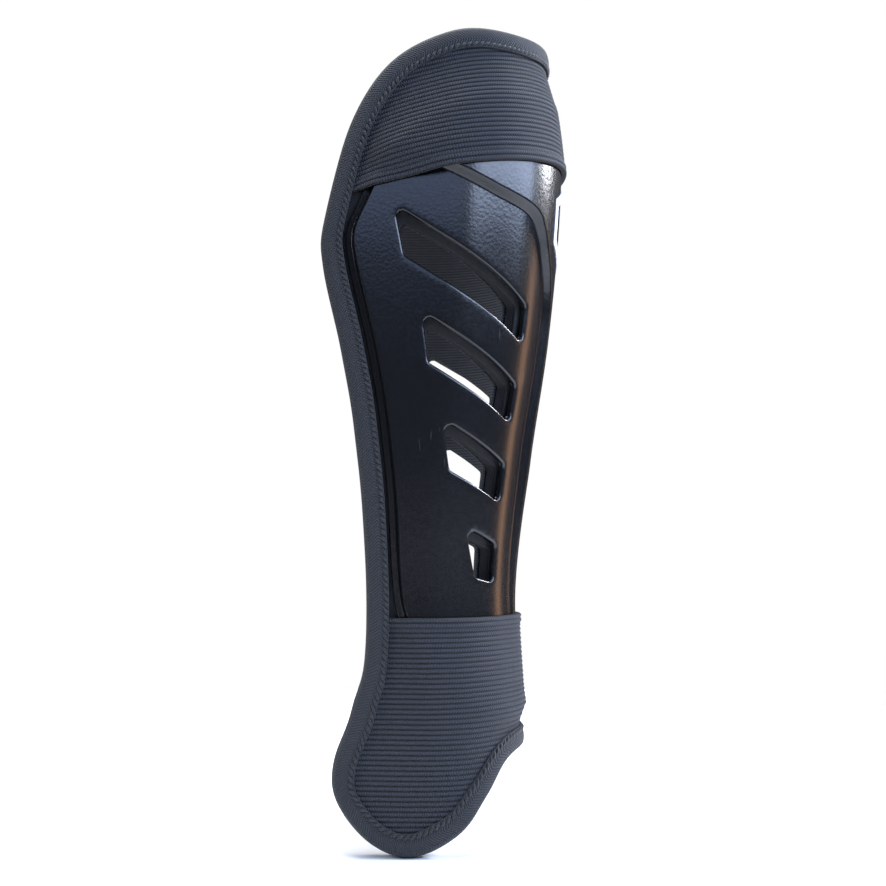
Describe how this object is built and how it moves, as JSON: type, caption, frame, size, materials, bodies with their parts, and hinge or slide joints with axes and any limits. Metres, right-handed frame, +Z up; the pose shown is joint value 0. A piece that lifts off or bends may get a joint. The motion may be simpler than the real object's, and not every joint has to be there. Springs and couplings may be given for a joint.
{
  "type": "shin guard",
  "caption": "Hockey shin guard: a half-tube moulded shell with diagonal slots and a raised front spine, held on a bound foam pad by a wide elastic band at top and bottom.",
  "frame": {"origin": "middle of the bounding box's bottom face, under the ankle lobes", "axes": "+Z up the shin, -Y the front of the shin, +Y the open back, +X to the guard's left as seen from the front; the guard is symmetric about X = 0"},
  "size_m": [0.1052, 0.1, 0.326],
  "materials": {
    "shell": "moulded polypropylene, black, semi-gloss with a fine leather grain",
    "badge": "pale transfer film",
    "face_fabric": "smooth black knit",
    "foam": "closed-cell EVA foam, matt",
    "lining": "fine ribbed black knit",
    "elastic": "woven ribbed elastic webbing, black",
    "binding": "herringbone polyester tape, black",
    "thread": "twisted polyester thread, black"
  },
  "bodies": {
    "root": {"front_shell": "shell", "panel_badge": "badge", "pad_front_fabric": "face_fabric", "foam_core": "foam", "inner_lining": "lining", "upper_elastic_band": "elastic", "lower_elastic_band": "elastic", "edge_binding": "binding", "front_binding_seam": "thread", "rear_binding_seam": "thread"}
  },
  "joints": []
}
